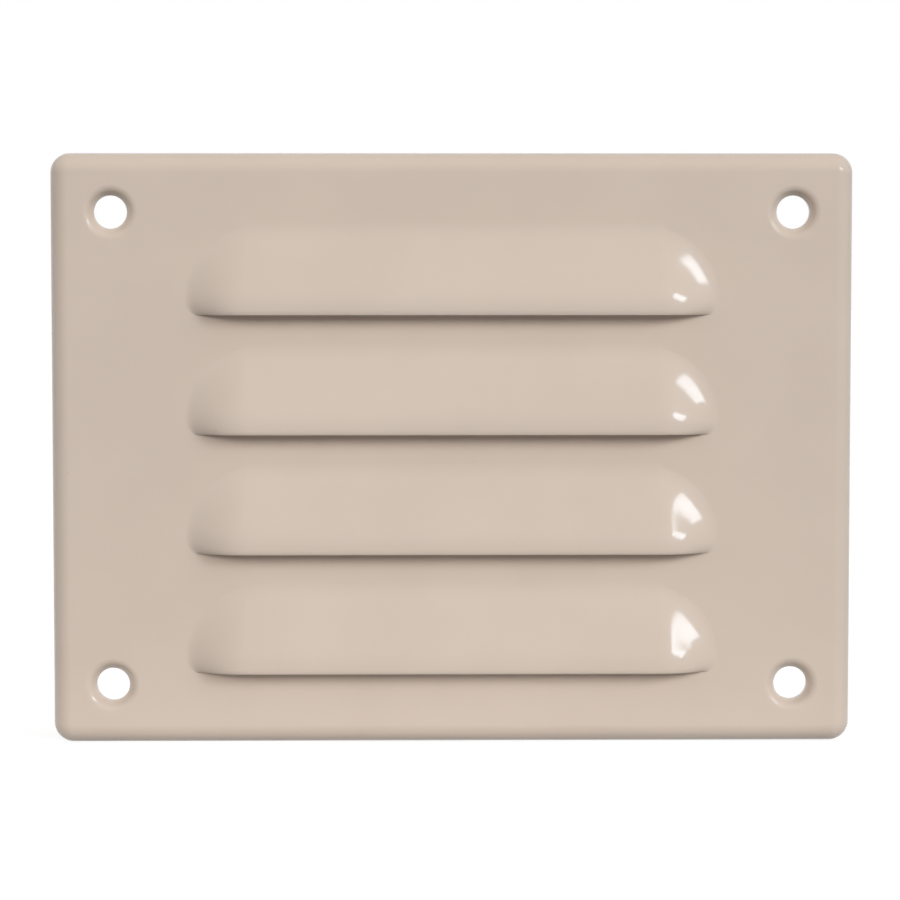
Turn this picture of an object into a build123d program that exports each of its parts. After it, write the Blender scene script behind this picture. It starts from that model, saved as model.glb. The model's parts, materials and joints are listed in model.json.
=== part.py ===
from build123d import *
from math import cos, radians, sin, sqrt, tan
import os

# Louvred wall vent pressed from one sheet of steel, in millimetres.
# The finished plate stands up: +X is across it, +Z is up and its front faces -Y.
# The wall is the plane Y = 0, and the origin is the centre of the screw pattern on it.
# The forms are made lying face up: X across, Y up the plate and Z out of the wall.

# Plate with its rim turned back to the wall
plate_width = 150.0
plate_height = 110.6
sheet = 0.8
rim_inner_radius = 2.7
rim_flange = 0.3
face_corner_radius = 0.2

# Screw holes, each at the bottom of a pressed dimple
hole_inset_x = 11.25
hole_inset_y = 11.0
hole_diameter = 6.2
dimple_run = 2.1
dimple_bend_radius = 1.7
dimple_wall_angle = 60.0
dimple_wall_gap = 0.4

# Louvre field, as many louvres as the plate holds between its margins, a little above the centre
louvre_pitch = 22.35
field_margin = 12.0
field_rise = 0.28

# Louvre seen from the front: a straight cut below and rounded corners
louvre_width = 100.0
end_run = 11.5
top_end_run = 1.4
shoulder_height = 2.9
lower_corner_radius = 3.2
upper_corner_radius = 13.5

# Louvre section from the cut up to the flat plate
lip_rise = 4.65
lip_round_length = 0.9
lip_round_drop = 0.2
lip_lean_angle = 2.0
roll_radius = 10.2
slope_angle = 20.0
root_radius = 10.2

# Rounding of the louvre ends, as shares of the end: how far the crown runs on at the lip, fading
# to nothing at the root, and how far the foot runs on
crown_fullness = 0.58
foot_fullness = 0.20
inner_shift = 0.03

# Strips that each louvre skin is lofted in: on the lip's edge, on each bend and on the slope
bend_strip_count = 2
outer_lip_strip_count = 2
outer_slope_strip_count = 4
inner_lip_strip_count = 1
inner_slope_strip_count = 3

# Values worked out from the sizes above
rim_radius = rim_inner_radius + sheet
plate_depth = rim_radius + rim_flange
corner_radius = rim_radius + face_corner_radius
hole_spacing_x = plate_width - 2 * hole_inset_x
hole_spacing_y = plate_height - 2 * hole_inset_y
crown_half_width = louvre_width / 2 - end_run
slope = radians(slope_angle)
lean = radians(lip_lean_angle)
bend_rise = (roll_radius + root_radius) * (1 - cos(slope))
slope_length = (lip_rise - bend_rise) / tan(slope)
louvre_height = lip_round_length + (roll_radius + root_radius) * sin(slope) + slope_length
lip_round_radius = (lip_round_length**2 + lip_round_drop**2) / (2 * lip_round_drop)
louvre_count = 1 + int((plate_height - 2 * field_margin - louvre_height) // louvre_pitch)
lowest_cut = field_rise - ((louvre_count - 1) * louvre_pitch + louvre_height) / 2


def rise_at(height, inset):
    """How far a skin stands out of the plate face; inset is 0 for the outer skin, sheet for the inner."""
    roll = roll_radius - inset
    root = root_radius + inset
    past_round = height - lip_round_length
    if past_round < 0:
        outer_drop = lip_round_radius - sqrt(lip_round_radius**2 - past_round**2)
        return lip_rise - inset - (outer_drop if inset == 0 else 0)
    if past_round < roll * sin(slope):
        return lip_rise - inset - roll + sqrt(roll**2 - past_round**2)
    below_top = max(louvre_height - height, 0)
    if below_top < root * sin(slope):
        return root - sqrt(root**2 - below_top**2) - inset
    return lip_rise - inset - roll * (1 - cos(slope)) - (past_round - roll * sin(slope)) * tan(slope)


def half_width_at(height):
    """Half the width of the louvre outline at a height above its cut."""
    from_shoulder = height - shoulder_height
    radius = lower_corner_radius if from_shoulder < 0 else upper_corner_radius
    reach = sqrt(max(radius**2 - from_shoulder**2, 0))
    return max(louvre_width / 2 - radius + reach, crown_half_width + top_end_run)


def section_heights(inset, lip_strips, slope_strips):
    """Heights of a louvre's sections, evenly turned round each bend and evenly spaced elsewhere."""
    roll = roll_radius - inset
    root = root_radius + inset
    slope_start = lip_round_length + roll * sin(slope)
    slope_end = louvre_height - root * sin(slope)
    slope_step = (slope_end - slope_start) / slope_strips
    turns = [slope * strip / bend_strip_count for strip in range(bend_strip_count)]
    heights = [lip_round_length * strip / lip_strips for strip in range(lip_strips)]
    heights += [lip_round_length + roll * sin(turn) for turn in turns]
    heights += [slope_start + slope_step * strip for strip in range(slope_strips)]
    heights += [louvre_height - root * sin(slope - turn) for turn in turns]
    return heights + [louvre_height]


def louvre_form(inset, heights):
    """Solid under one louvre skin, lofted up the plate through sections that lean with the lip."""
    foot = -inset / cos(lean)
    base = foot - sheet / 2
    with BuildPart() as form:
        for height in heights:
            edge = half_width_at(height)
            run = edge - crown_half_width
            rise = rise_at(height, inset) / cos(lean)
            fade = 1 - height / louvre_height
            foot_end = edge - run * (foot_fullness + inner_shift * inset)
            crown_end = crown_half_width + run * (crown_fullness - inner_shift * inset) * fade
            level = Plane(origin=(0, height, 0), x_dir=(1, 0, 0), z_dir=(0, -cos(lean), sin(lean)))
            with BuildSketch(level):
                with BuildLine():
                    Polyline((-edge, foot), (-edge, base), (edge, base), (edge, foot))
                    Bezier((edge, foot), (foot_end, foot), (crown_end, rise), (crown_half_width, rise))
                    Line((crown_half_width, rise), (-crown_half_width, rise))
                    Bezier((-crown_half_width, rise), (-crown_end, rise), (-foot_end, foot), (-edge, foot))
                make_face()
        loft(ruled=True)
    return form.part


# Louvre forms for the two skins, and the cuts that they stand on
outer_louvre = louvre_form(0, section_heights(0, outer_lip_strip_count, outer_slope_strip_count))
inner_louvre = louvre_form(sheet, section_heights(sheet, inner_lip_strip_count, inner_slope_strip_count))
louvre_places = [(0, lowest_cut + row * louvre_pitch, plate_depth) for row in range(louvre_count)]

# Outer form: the plate with its rounded rim, and the louvres standing out of it
with BuildPart() as outer_form:
    with BuildSketch():
        RectangleRounded(plate_width, plate_height, corner_radius)
    extrude(amount=plate_depth)
    fillet(outer_form.edges().group_by(Axis.Z)[-1], rim_radius)
    with Locations(*louvre_places):
        add(outer_louvre)

# Inner form: the hollow behind the sheet, one sheet thickness inside the outer form
with BuildPart() as inner_form:
    with BuildSketch():
        RectangleRounded(plate_width - 2 * sheet, plate_height - 2 * sheet, corner_radius - sheet)
    extrude(amount=plate_depth - sheet)
    fillet(inner_form.edges().group_by(Axis.Z)[-1], rim_inner_radius)
    with Locations(*louvre_places):
        add(inner_louvre)

# Screw dimple: a pressed funnel with a round shoulder, bored to size and cut flat at the back
hole_radius = hole_diameter / 2
dimple_radius = hole_radius + dimple_run
wall = radians(dimple_wall_angle)
bend_drop = dimple_bend_radius * (1 - cos(wall))
bend_start = (dimple_radius, plate_depth)
bend_pull = (dimple_radius - dimple_bend_radius * tan(wall / 2), plate_depth)
bend_end = (dimple_radius - dimple_bend_radius * sin(wall), plate_depth - bend_drop)
bore_top = (hole_radius, bend_end[1] - (bend_end[0] - hole_radius) * tan(wall))
back_radius = bend_end[0] + (sheet - (bend_end[1] - dimple_wall_gap) * cos(wall)) / sin(wall)
back_corner = (back_radius + (plate_depth - sheet - dimple_wall_gap) / tan(wall), plate_depth - sheet)
with BuildPart() as dimple:
    with BuildSketch(Plane.XZ):
        with BuildLine():
            Bezier(bend_start, bend_pull, bend_end)
            Polyline(bend_end, bore_top, (hole_radius, dimple_wall_gap), (back_radius, dimple_wall_gap))
            Polyline((back_radius, dimple_wall_gap), back_corner, (dimple_radius, back_corner[1]))
            Line((dimple_radius, back_corner[1]), bend_start)
        make_face()
    revolve(axis=Axis.Z)

# The pressed sheet lying face up: outer form less inner form, with the dimples set into it
with BuildPart() as pressed_sheet:
    add(outer_form.part)
    add(inner_form.part, mode=Mode.SUBTRACT)
    with GridLocations(hole_spacing_x, hole_spacing_y, 2, 2):
        Cylinder(dimple_radius, 2 * plate_depth, mode=Mode.SUBTRACT)
        add(dimple.part)

# The finished plate, stood up with its back on the wall plane
with BuildPart(Plane.XZ) as grille_plate:
    add(pressed_sheet.part)

grille_plate.part.label = "grille_plate"
os.makedirs("parts", exist_ok=True)
export_step(grille_plate.part, "parts/grille_plate.step")
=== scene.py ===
"""Looks of a louvred wall vent pressed from one sheet of steel and painted gloss beige.

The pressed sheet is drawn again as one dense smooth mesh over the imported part, from the same sizes.
It is made lying face up, as (across, up the plate, out of the wall), and stood up at the end, so that
its front faces -Y and its back rests on the wall plane Y = 0. Everything is in metres.
"""
import json
from math import cos, pi, radians, sin, sqrt, tan

import bmesh
import bpy
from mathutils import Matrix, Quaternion, Vector


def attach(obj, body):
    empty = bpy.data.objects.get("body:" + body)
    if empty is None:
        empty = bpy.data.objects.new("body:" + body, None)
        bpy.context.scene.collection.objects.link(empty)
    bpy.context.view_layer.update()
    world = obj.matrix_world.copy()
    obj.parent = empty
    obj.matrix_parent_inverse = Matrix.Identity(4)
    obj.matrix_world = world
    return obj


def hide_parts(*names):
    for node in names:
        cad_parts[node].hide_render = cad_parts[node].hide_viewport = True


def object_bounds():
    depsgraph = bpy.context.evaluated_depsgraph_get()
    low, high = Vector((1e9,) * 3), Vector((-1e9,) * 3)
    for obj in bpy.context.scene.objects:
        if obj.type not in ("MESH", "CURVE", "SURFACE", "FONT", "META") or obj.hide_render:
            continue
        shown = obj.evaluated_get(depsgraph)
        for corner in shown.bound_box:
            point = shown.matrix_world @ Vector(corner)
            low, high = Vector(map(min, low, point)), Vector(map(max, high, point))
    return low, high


mm = 0.001

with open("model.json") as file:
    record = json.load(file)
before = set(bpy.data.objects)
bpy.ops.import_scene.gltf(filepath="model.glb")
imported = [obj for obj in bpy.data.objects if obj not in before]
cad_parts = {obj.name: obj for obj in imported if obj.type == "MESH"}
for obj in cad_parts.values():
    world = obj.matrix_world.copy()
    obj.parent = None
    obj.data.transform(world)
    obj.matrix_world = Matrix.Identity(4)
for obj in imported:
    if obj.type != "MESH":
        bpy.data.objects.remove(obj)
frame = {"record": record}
cad_low, cad_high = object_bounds()
mounts = {mount["name"]: mount for mount in frame["record"]["mounts"]}
hole_pattern = mounts["screw_holes"]["dims"]

# Pressed sheet, its rim turned back to the wall
plate_width = cad_high.x - cad_low.x
plate_height = cad_high.z - cad_low.z
sheet = 0.8 * mm
rim_inner_radius = 2.7 * mm
rim_flange = 0.3 * mm
face_corner_radius = 0.2 * mm
rim_radius = rim_inner_radius + sheet
plate_depth = rim_radius + rim_flange
back_plane = plate_depth - sheet

# Screw holes in pressed dimples
hole_radius = hole_pattern["hole_r_mm"] * mm
hole_places = [
    (side * hole_pattern["spacing_x_mm"] / 2 * mm, level * hole_pattern["spacing_y_mm"] / 2 * mm)
    for side in (-1, 1)
    for level in (-1, 1)
]
dimple_run = 2.1 * mm
dimple_radius = hole_radius + dimple_run
dimple_bend_radius = 1.7 * mm
dimple_wall = radians(60)
dimple_back = 0.4 * mm

# Louvre outline, straight along its cut, and where the louvres stand
louvre_count = 4
louvre_pitch = 22.35 * mm
field_rise = 0.28 * mm
louvre_half_width = 50 * mm
end_run = 11.5 * mm
top_end_run = 1.4 * mm
crown_half_width = louvre_half_width - end_run
top_half_width = crown_half_width + top_end_run
shoulder_height = 2.9 * mm
lower_corner_radius = 3.2 * mm
upper_corner_radius = 13.5 * mm

# Louvre section: rounded lip, roll, slope and root
lip_rise = -cad_low.y - plate_depth
lip_round_length = 0.9 * mm
lip_round_drop = 0.2 * mm
lip_round_radius = (lip_round_length**2 + lip_round_drop**2) / (2 * lip_round_drop)
lean = radians(2)
roll_radius = 10.2 * mm
root_radius = 10.2 * mm
slope = radians(20)
bend_rise = (roll_radius + root_radius) * (1 - cos(slope))
slope_length = (lip_rise - bend_rise) / tan(slope)
louvre_height = lip_round_length + (roll_radius + root_radius) * sin(slope) + slope_length
lowest_cut = field_rise - ((louvre_count - 1) * louvre_pitch + louvre_height) / 2

# Rounding of the louvre ends, as shares of the end: the crown's fades to nothing at the root
crown_fullness = 0.58
foot_fullness = 0.20
inner_shift = 0.03 / mm

# Mesh steps, and the angle from which an edge stays sharp
bend_steps = 14
round_steps = 72
end_steps = 26
foot_steps = 6
lip_steps = 6
slope_steps = 8
weld = 1e-7
sharp_angle = radians(25)

# Paint colours, linear
paint_light = (0.680, 0.558, 0.459)
paint_dark = (0.662, 0.542, 0.446)
# Painted shade: a darker colour along the back edge, standing in for the contact shade where the plate meets
# the wall
painted_back_edge_shade = (0.30, 0.23, 0.17)
dust_colour = (0.16, 0.12, 0.09)

# Cool white of the lamp, linear
lamp_colour = (0.80, 0.90, 1.0)

# Floor: half its side, and the half axes of the ellipse round the plate that fades it from near to far
floor_half_side = 3.0
floor_near_x = 0.3
floor_near_y = 0.09

# Camera, with its focal length in sensor widths
view_aim = Vector((-0.382, 0, -0.344)) * mm
view_distance = 630 * mm
view_azimuth = -0.91
view_elevation = 3.93
sensor_width = 36
focal_ratio = 3.7197


def rise_at(height, inset):
    """How far a skin stands out of the plate face; inset is 0 for the outer skin, sheet for the inner."""
    roll = roll_radius - inset
    root = root_radius + inset
    past_round = height - lip_round_length
    if past_round < 0:
        outer_drop = lip_round_radius - sqrt(lip_round_radius**2 - past_round**2)
        return lip_rise - inset - (outer_drop if inset == 0 else 0)
    if past_round < roll * sin(slope):
        return lip_rise - inset - roll + sqrt(roll**2 - past_round**2)
    below_top = max(louvre_height - height, 0)
    if below_top < root * sin(slope):
        return root - sqrt(root**2 - below_top**2) - inset
    return lip_rise - inset - roll * (1 - cos(slope)) - (past_round - roll * sin(slope)) * tan(slope)


def half_width_at(height):
    """Half the width of the louvre outline at a height above its cut."""
    from_shoulder = height - shoulder_height
    radius = lower_corner_radius if from_shoulder < 0 else upper_corner_radius
    reach = sqrt(max(radius**2 - from_shoulder**2, 0))
    return max(louvre_half_width - radius + reach, top_half_width)


def section_heights(inset):
    """Heights of the louvre's mesh rows, evenly turned round each bend."""
    roll = roll_radius - inset
    root = root_radius + inset
    slope_start = lip_round_length + roll * sin(slope)
    slope_end = louvre_height - root * sin(slope)
    turns = [slope * step / bend_steps for step in range(bend_steps)]
    heights = [lip_round_length * step / lip_steps for step in range(lip_steps)]
    heights += [lip_round_length + roll * sin(turn) for turn in turns]
    heights += [slope_start + (slope_end - slope_start) * step / slope_steps for step in range(slope_steps)]
    heights += [louvre_height - root * sin(slope - turn) for turn in turns]
    return heights + [louvre_height]


def end_point(height, inset, share):
    """Point (across, rise) of a louvre end: share 0 is its foot on the plate and 1 its crown."""
    edge = half_width_at(height)
    run = edge - crown_half_width
    rise = rise_at(height, inset)
    fade = 1 - height / louvre_height
    pulls = (
        (edge, -inset),
        (edge - run * (foot_fullness + inner_shift * inset), -inset),
        (crown_half_width + run * (crown_fullness - inner_shift * inset) * fade, rise),
        (crown_half_width, rise),
    )
    weights = ((1 - share) ** 3, 3 * share * (1 - share) ** 2, 3 * share**2 * (1 - share), share**3)
    return tuple(sum(w * p[axis] for w, p in zip(weights, pulls)) for axis in (0, 1))


def crossing_share():
    """Share at which the inner skin passes through the plate face in the plane of the cut."""
    low, high = 0.0, 1.0
    while high - low > 1e-9:
        middle = (low + high) / 2
        if end_point(0, sheet, middle)[1] < 0:
            low = middle
        else:
            high = middle
    return high


def skin_row(height, inset, shares, cut):
    """One row of a louvre skin from its right foot to its left one, leaning with the lip."""
    half = [end_point(height, inset, share) for share in shares]
    row = half + [(-across, rise) for across, rise in reversed(half)]
    return [(across, cut + height + rise * tan(lean), plate_depth + rise) for across, rise in row]


def add_rows(bm, rows, closed=False):
    """Faces between neighbouring rows of points."""
    made = [[bm.verts.new(point) for point in row] for row in rows]
    for low, high in zip(made, made[1:]):
        pairs = list(zip(low, high))
        for (a, b), (c, d) in zip(pairs, pairs[1:] + (pairs[:1] if closed else [])):
            bm.faces.new((a, c, d, b))


def fill(bm, loops):
    """Flat faces inside the first loop of points and outside the others."""
    edges = []
    for loop in loops:
        made = [bm.verts.new(point) for point in loop]
        edges += [bm.edges.new(pair) for pair in zip(made, made[1:] + made[:1])]
    bmesh.ops.triangle_fill(bm, use_beauty=True, use_dissolve=False, edges=edges)


def rim_loop(offset, out):
    """Closed loop round the plate, at a distance outside its flat face."""
    half_x = plate_width / 2 - rim_radius - face_corner_radius
    half_y = plate_height / 2 - rim_radius - face_corner_radius
    corners = ((half_x, half_y), (-half_x, half_y), (-half_x, -half_y), (half_x, -half_y))
    radius = face_corner_radius + offset
    loop = []
    for turn, (x, y) in enumerate(corners):
        for step in range(bend_steps + 1):
            angle = pi / 2 * (turn + step / bend_steps)
            loop.append((x + radius * cos(angle), y + radius * sin(angle), out))
    return loop


def ring(place, radius, out):
    """Closed ring round a screw hole."""
    angles = [2 * pi * step / round_steps for step in range(round_steps)]
    return [(place[0] + radius * cos(a), place[1] + radius * sin(a), out) for a in angles]


def dimple_section():
    """Points (radius, out) of the dimple from the plate's front, through the bore, to its back."""
    turns = [dimple_wall * step / bend_steps for step in range(bend_steps + 1)]
    centre = plate_depth - dimple_bend_radius
    outer = dimple_bend_radius
    inner = dimple_bend_radius - sheet
    front = [(dimple_radius - outer * sin(a), centre + outer * cos(a)) for a in turns]
    foot_radius, foot_out = front[-1]
    bore = [
        (hole_radius, foot_out - (foot_radius - hole_radius) * tan(dimple_wall)),
        (hole_radius, dimple_back),
    ]
    back = [(dimple_radius - inner * sin(a), centre + inner * cos(a)) for a in reversed(turns)]
    heel_radius, heel_out = back[0]
    heel = [(heel_radius - (heel_out - dimple_back) / tan(dimple_wall), dimple_back)]
    return front + bore + heel + back


def pressed_sheet():
    """The whole sheet as one closed mesh, made lying face up and then stood up."""
    bm = bmesh.new()
    cross = crossing_share()
    above = [cross + (1 - cross) * step / end_steps for step in range(end_steps + 1)]
    below = [cross * step / foot_steps for step in range(foot_steps)]
    outer_shares = [step / end_steps for step in range(end_steps + 1)]
    inner_shares = below + above
    skip = len(below)
    front_loops = [rim_loop(0, plate_depth)]
    back_loops = [rim_loop(0, back_plane)]
    outer_heights = section_heights(0)
    inner_heights = section_heights(sheet)
    for number in range(louvre_count):
        cut = lowest_cut + number * louvre_pitch
        outer = [skin_row(height, 0, outer_shares, cut) for height in outer_heights]
        inner = [skin_row(height, sheet, inner_shares, cut) for height in inner_heights]
        add_rows(bm, outer)
        add_rows(bm, inner)
        low_lip = inner[0]
        add_rows(bm, [outer[0], low_lip[skip:len(low_lip) - skip]])
        fill(bm, [low_lip[:skip + 1] + low_lip[-skip - 1:]])
        right = [row[0] for row in outer]
        left = [row[-1] for row in outer]
        front_loops.append(right + outer[-1][1:-1] + left[::-1] + [low_lip[-skip - 1], low_lip[skip]])
        right = [row[0] for row in inner]
        left = [row[-1] for row in inner]
        back_loops.append(right + inner[-1][1:-1] + left[::-1])
    section = dimple_section()
    for place in hole_places:
        rings = [ring(place, radius, out) for radius, out in section]
        add_rows(bm, rings, closed=True)
        front_loops.append(rings[0])
        back_loops.append(rings[-1])
    fill(bm, front_loops)
    fill(bm, back_loops)
    turns = [pi / 2 * step / bend_steps for step in range(bend_steps + 1)]
    outside = [(rim_radius * sin(a), rim_flange + rim_radius * cos(a)) for a in turns]
    edge = [(rim_radius, 0), (rim_inner_radius, 0)]
    inside = [(rim_inner_radius * sin(a), rim_flange + rim_inner_radius * cos(a)) for a in reversed(turns)]
    add_rows(bm, [rim_loop(offset, out) for offset, out in outside + edge + inside], closed=True)
    bmesh.ops.remove_doubles(bm, verts=bm.verts, dist=weld)
    bmesh.ops.recalc_face_normals(bm, faces=bm.faces)
    for vert in bm.verts:
        across, up, out = vert.co
        vert.co = (across, -out, up)
    open_edges = sum(1 for edge in bm.edges if len(edge.link_faces) != 2)
    print("sheet", len(bm.faces), "faces,", open_edges, "open edges")
    mesh = bpy.data.meshes.new("pressed_sheet")
    bm.to_mesh(mesh)
    bm.free()
    mesh.set_sharp_from_angle(angle=sharp_angle)
    sheet_object = bpy.data.objects.new("pressed_sheet", mesh)
    bpy.context.scene.collection.objects.link(sheet_object)
    weighted = sheet_object.modifiers.new("face normals", "WEIGHTED_NORMAL")
    weighted.keep_sharp = True
    weighted.weight = 100
    return sheet_object


def math_node(tree, operation, first, second):
    """Result of one math node on sockets or numbers."""
    node = tree.nodes.new("ShaderNodeMath")
    node.operation = operation
    for socket, value in zip(node.inputs, (first, second)):
        if isinstance(value, (int, float)):
            socket.default_value = value
        else:
            tree.links.new(value, socket)
    return node.outputs[0]


def smooth_range(tree, value, start, end, first, last):
    """Smooth change from the first to the last number while the value goes from start to end."""
    node = tree.nodes.new("ShaderNodeMapRange")
    node.interpolation_type = "SMOOTHSTEP"
    node.inputs["From Min"].default_value = start
    node.inputs["From Max"].default_value = end
    node.inputs["To Min"].default_value = first
    node.inputs["To Max"].default_value = last
    tree.links.new(value, node.inputs["Value"])
    return node.outputs[0]


def noise(tree, place, scale, detail):
    """Even noise from 0 to 1, with scale in lumps to the metre."""
    node = tree.nodes.new("ShaderNodeTexNoise")
    node.inputs["Scale"].default_value = scale
    node.inputs["Detail"].default_value = detail
    tree.links.new(place, node.inputs["Vector"])
    return node.outputs["Fac"]


def tint(tree, share, first, second):
    """Colour that goes from the first, a colour or a socket, to the second as the share goes from 0 to 1."""
    node = tree.nodes.new("ShaderNodeMix")
    node.data_type = "RGBA"
    if isinstance(first, tuple):
        node.inputs["A"].default_value = (*first, 1)
    else:
        tree.links.new(first, node.inputs["A"])
    node.inputs["B"].default_value = (*second, 1)
    tree.links.new(share, node.inputs["Factor"])
    return node.outputs["Result"]


def dust_share(tree, place):
    """1 in the few dust specks and 0 elsewhere."""
    cells = tree.nodes.new("ShaderNodeTexVoronoi")
    cells.inputs["Scale"].default_value = 70
    tree.links.new(place, cells.inputs["Vector"])
    grain = smooth_range(tree, cells.outputs["Distance"], start=0.006, end=0.013, first=1, last=0)
    split = tree.nodes.new("ShaderNodeSeparateColor")
    tree.links.new(cells.outputs["Color"], split.inputs[0])
    kept = math_node(tree, "GREATER_THAN", split.outputs["Red"], 0.75)
    return math_node(tree, "MULTIPLY", grain, kept)


def orange_peel(tree, place):
    """Surface direction with softened sheet edges and the paint's fine ripple."""
    fine = noise(tree, place, scale=600, detail=1)
    broad = math_node(tree, "MULTIPLY", noise(tree, place, scale=140, detail=1), 3.0)
    rounded = tree.nodes.new("ShaderNodeBevel")
    rounded.samples = 4
    rounded.inputs["Radius"].default_value = 0.14 * mm
    peel = tree.nodes.new("ShaderNodeBump")
    peel.inputs["Strength"].default_value = 0.25
    peel.inputs["Distance"].default_value = 0.012 * mm
    tree.links.new(math_node(tree, "ADD", fine, broad), peel.inputs["Height"])
    tree.links.new(rounded.outputs[0], peel.inputs["Normal"])
    return peel.outputs[0]


def beige_paint():
    """Baked gloss paint: soft cloudiness, orange peel, sparse dust, and a thin line of painted shade along
    the back edge.
    """
    material = bpy.data.materials.new("beige_paint")
    material.use_nodes = True
    tree = material.node_tree
    shader = tree.nodes["Principled BSDF"]
    place = tree.nodes.new("ShaderNodeTexCoord").outputs["Object"]
    split = tree.nodes.new("ShaderNodeSeparateXYZ")
    tree.links.new(place, split.inputs[0])

    lumps = noise(tree, place, scale=45, detail=3)
    cloud = smooth_range(tree, lumps, start=0.35, end=0.65, first=0, last=1)
    # Painted shade: the base colour darkens over the last 1.5 mm before the back edge, standing in for
    # contact shade
    edge = smooth_range(tree, split.outputs["Y"], start=-1.5 * mm, end=-0.2 * mm, first=0, last=0.55)
    paint = tint(tree, cloud, paint_light, paint_dark)
    paint = tint(tree, edge, paint, painted_back_edge_shade)
    paint = tint(tree, dust_share(tree, place), paint, dust_colour)
    tree.links.new(paint, shader.inputs["Base Color"])

    grain = noise(tree, place, scale=260, detail=4)
    roughness = smooth_range(tree, grain, start=0.3, end=0.7, first=0.08, last=0.13)
    tree.links.new(roughness, shader.inputs["Roughness"])
    tree.links.new(orange_peel(tree, place), shader.inputs["Normal"])
    return material


def direction(azimuth, elevation):
    """Unit direction by degrees to the right of the plate's front and degrees above the floor."""
    turn, lift = radians(azimuth), radians(elevation)
    return Vector((sin(turn) * cos(lift), -cos(turn) * cos(lift), sin(lift)))


def seen_ray(tree):
    """1 on rays from the camera, from gloss and through glass, 0 on the rays that light things."""
    path = tree.nodes.new("ShaderNodeLightPath")
    plain = math_node(tree, "MAXIMUM", path.outputs["Is Camera Ray"], path.outputs["Is Glossy Ray"])
    return math_node(tree, "MAXIMUM", plain, path.outputs["Is Transmission Ray"])


def soft_lobe(tree, ray, azimuth, elevation, tightness, strength):
    """Broad soft light in the surroundings, brightest in one direction."""
    toward = tree.nodes.new("ShaderNodeVectorMath")
    toward.operation = "DOT_PRODUCT"
    toward.inputs[1].default_value = direction(azimuth, elevation)
    tree.links.new(ray, toward.inputs[0])
    facing = math_node(tree, "MAXIMUM", toward.outputs["Value"], 0.0)
    return math_node(tree, "MULTIPLY", math_node(tree, "POWER", facing, tightness), strength)


def surroundings():
    """White room lit by a broad soft band above the horizon in front, and by softer light from the
    right, from the far left and from behind. Heights in it are sines of the elevation."""
    world = bpy.data.worlds.new("studio")
    bpy.context.scene.world = world
    world.use_nodes = True
    tree = world.node_tree
    tree.nodes.clear()
    ray = tree.nodes.new("ShaderNodeTexCoord").outputs["Generated"]
    split = tree.nodes.new("ShaderNodeSeparateXYZ")
    tree.links.new(ray, split.inputs[0])
    height = split.outputs["Z"]
    above_low = smooth_range(tree, height, start=0.15, end=0.23, first=0, last=1)
    below_high = smooth_range(tree, height, start=0.30, end=0.54, first=1, last=0.06)
    band = math_node(tree, "MULTIPLY", above_low, below_high)
    above_floor = smooth_range(tree, height, start=0.05, end=0.25, first=0, last=1)
    front = soft_lobe(tree, ray, azimuth=2, elevation=15, tightness=1.6, strength=5.1)
    front = math_node(tree, "MULTIPLY", front, band)
    right = soft_lobe(tree, ray, azimuth=50, elevation=15, tightness=10.4, strength=2.0)
    right = math_node(tree, "MULTIPLY", right, above_floor)
    left = soft_lobe(tree, ray, azimuth=-105, elevation=10, tightness=3.5, strength=0.85)
    back = soft_lobe(tree, ray, azimuth=180, elevation=15, tightness=2, strength=1.0)
    lit = front
    for lobe in (right, left, back):
        lit = math_node(tree, "ADD", lit, lobe)
    strength = tree.nodes.new("ShaderNodeMix")
    tree.links.new(seen_ray(tree), strength.inputs["Factor"])
    tree.links.new(lit, strength.inputs["A"])
    strength.inputs["B"].default_value = 1
    background = tree.nodes.new("ShaderNodeBackground")
    background.inputs["Color"].default_value = (1, 1, 1, 1)
    tree.links.new(strength.outputs["Result"], background.inputs["Strength"])
    output = tree.nodes.new("ShaderNodeOutputWorld")
    tree.links.new(background.outputs[0], output.inputs["Surface"])


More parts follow.
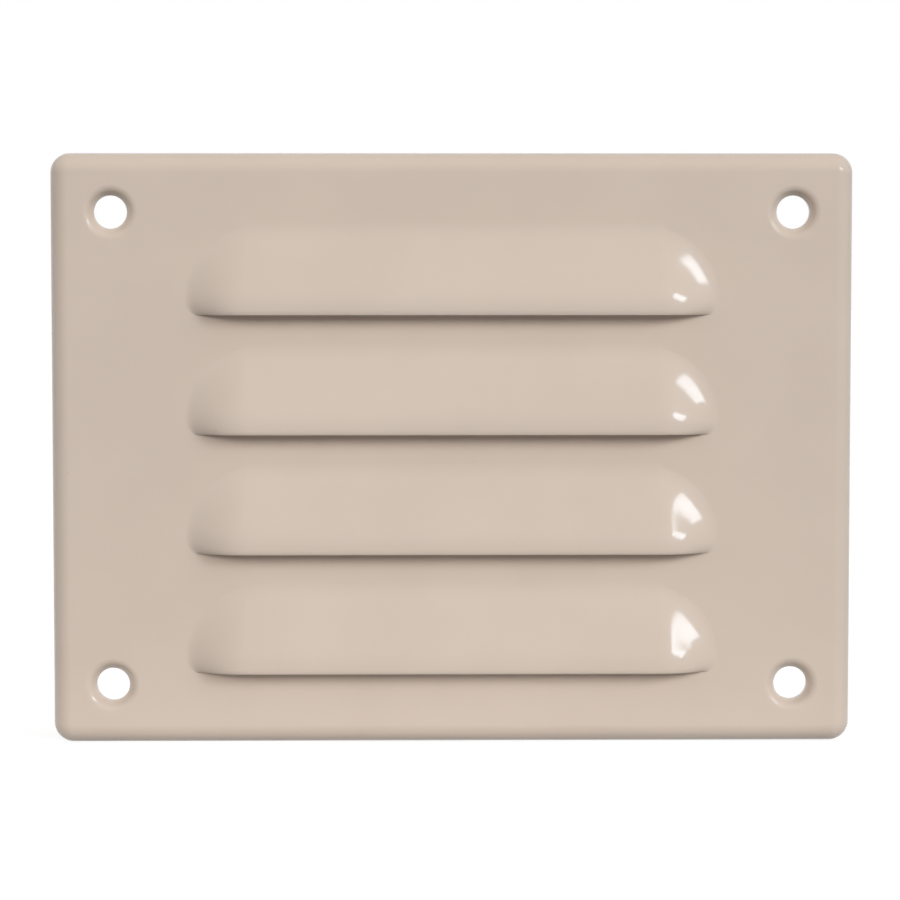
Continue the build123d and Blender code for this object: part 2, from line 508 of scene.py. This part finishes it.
def floor():
    """Plain pale floor that the plate stands on, white to the camera and keeping the plate's shadow.
    It throws light back at the plate only close to it."""
    side = floor_half_side
    corners = [(-side, -side, 0), (side, -side, 0), (side, side, 0), (-side, side, 0)]
    mesh = bpy.data.meshes.new("floor")
    mesh.from_pydata(corners, [], [(0, 1, 2, 3)])
    ground = bpy.data.objects.new("floor", mesh)
    ground.location = (0, 0, cad_low.z)
    bpy.context.scene.collection.objects.link(ground)
    material = bpy.data.materials.new("pale_floor")
    material.use_nodes = True
    tree = material.node_tree
    shader = tree.nodes["Principled BSDF"]
    shader.inputs["Roughness"].default_value = 0.9
    shader.inputs["Specular IOR Level"].default_value = 0
    shader.inputs["Emission Color"].default_value = (1, 1, 1, 1)
    place = tree.nodes.new("ShaderNodeTexCoord").outputs["Object"]
    spread = tree.nodes.new("ShaderNodeVectorMath")
    spread.operation = "MULTIPLY"
    spread.inputs[1].default_value = (1 / floor_near_x, 1 / floor_near_y, 0)
    tree.links.new(place, spread.inputs[0])
    length = tree.nodes.new("ShaderNodeVectorMath")
    length.operation = "LENGTH"
    tree.links.new(spread.outputs[0], length.inputs[0])
    away = length.outputs["Value"]
    shade = smooth_range(tree, away, start=0.15, end=0.55, first=0.47, last=0.08)
    glow = smooth_range(tree, away, start=0.15, end=0.55, first=0.72, last=1.0)
    tone = tree.nodes.new("ShaderNodeCombineColor")
    for channel in ("Red", "Green", "Blue"):
        tree.links.new(shade, tone.inputs[channel])
    tree.links.new(tone.outputs["Color"], shader.inputs["Base Color"])
    tree.links.new(math_node(tree, "MULTIPLY", seen_ray(tree), glow), shader.inputs["Emission Strength"])
    mesh.materials.append(material)


def area_light(name, azimuth, elevation, distance, width, height, roll, power):
    """Rectangular light aimed at the plate, turned about its own aim by roll degrees."""
    light = bpy.data.lights.new(name, "AREA")
    light.shape = "RECTANGLE"
    light.size = width
    light.size_y = height
    light.energy = power
    light.color = lamp_colour
    lamp = bpy.data.objects.new(name, light)
    place = direction(azimuth, elevation) * distance
    lamp.location = place
    aim = (-place).to_track_quat("-Z", "Y")
    lamp.rotation_euler = (aim @ Quaternion((0, 0, 1), radians(roll))).to_euler()
    bpy.context.scene.collection.objects.link(lamp)


def camera():
    """Camera at the photograph's view, slightly above and left of the plate's middle."""
    lens = bpy.data.cameras.new("camera")
    lens.sensor_width = sensor_width
    lens.lens = sensor_width * focal_ratio
    lens.clip_start = 0.01
    view = bpy.data.objects.new("camera", lens)
    toward = direction(view_azimuth, view_elevation)
    view.location = view_aim + toward * view_distance
    view.rotation_euler = (-toward).to_track_quat("-Z", "Y").to_euler()
    bpy.context.scene.collection.objects.link(view)
    bpy.context.scene.camera = view


plate = pressed_sheet()
plate.data.materials.append(beige_paint())
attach(plate, "root")
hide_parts("grille_plate")

surroundings()
floor()
area_light("highlight", azimuth=45, elevation=23, distance=4.0, width=1.5, height=0.75, roll=-35.4, power=36)
camera()
bpy.context.scene.view_settings.view_transform = "Standard"
